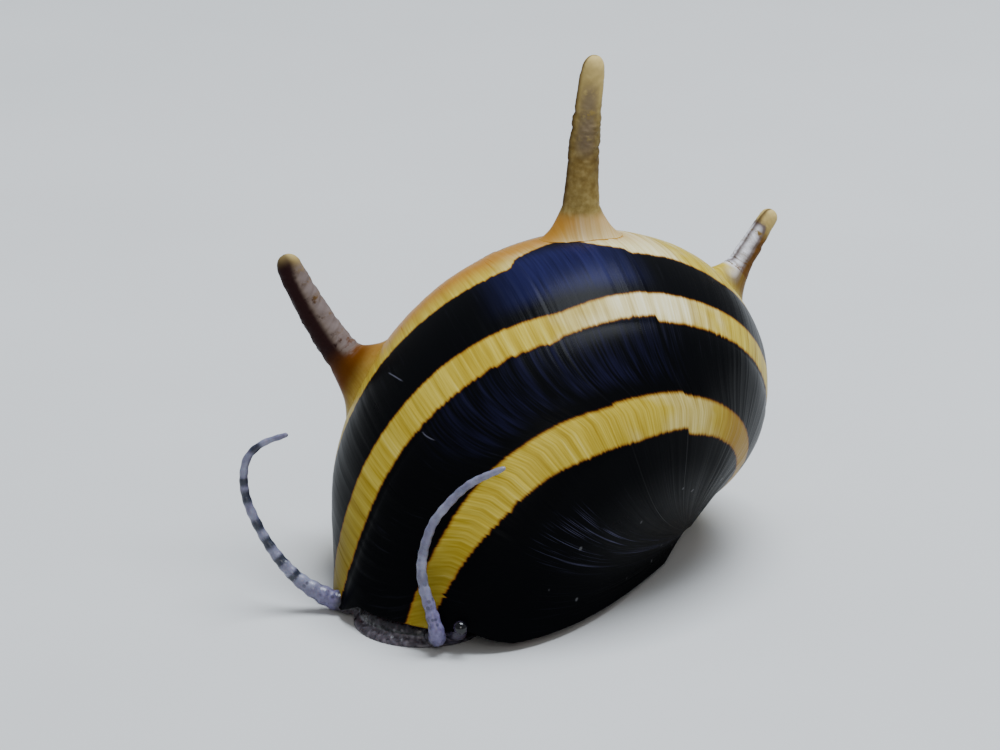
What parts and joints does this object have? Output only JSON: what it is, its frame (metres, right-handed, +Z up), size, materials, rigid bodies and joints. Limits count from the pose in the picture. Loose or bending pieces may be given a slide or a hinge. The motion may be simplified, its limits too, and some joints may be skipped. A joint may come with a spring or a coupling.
{
  "type": "horned nerite snail",
  "caption": "Life-size still model of a crawling horned nerite snail with a glossy black and gold banded shell and raised blunt spines.",
  "frame": {"origin": "middle of the flat sole of the foot, on the surface that the snail stands on", "axes": "+Z up, the head toward -Y, the animal's left toward +X"},
  "size_m": [0.0147, 0.0198, 0.0181],
  "materials": {
    "shell": "glossy black with gold bands, growth lines and tan spines",
    "foot_skin": "moist dark brown-grey skin",
    "head_skin": "moist dark purple-grey skin with a paler ridged snout edge",
    "tentacle_skin": "moist lavender-grey skin with dark rings",
    "eye": "wet, glossy black"
  },
  "bodies": {
    "root": {"shell": "shell", "foot": "foot_skin", "head": "head_skin", "tentacle_left_1": "tentacle_skin", "tentacle_left_2": "tentacle_skin", "tentacle_left_3": "tentacle_skin", "tentacle_right_1": "tentacle_skin", "tentacle_right_2": "tentacle_skin", "tentacle_right_3": "tentacle_skin", "eye_left": "eye", "eye_right": "eye"}
  },
  "joints": []
}
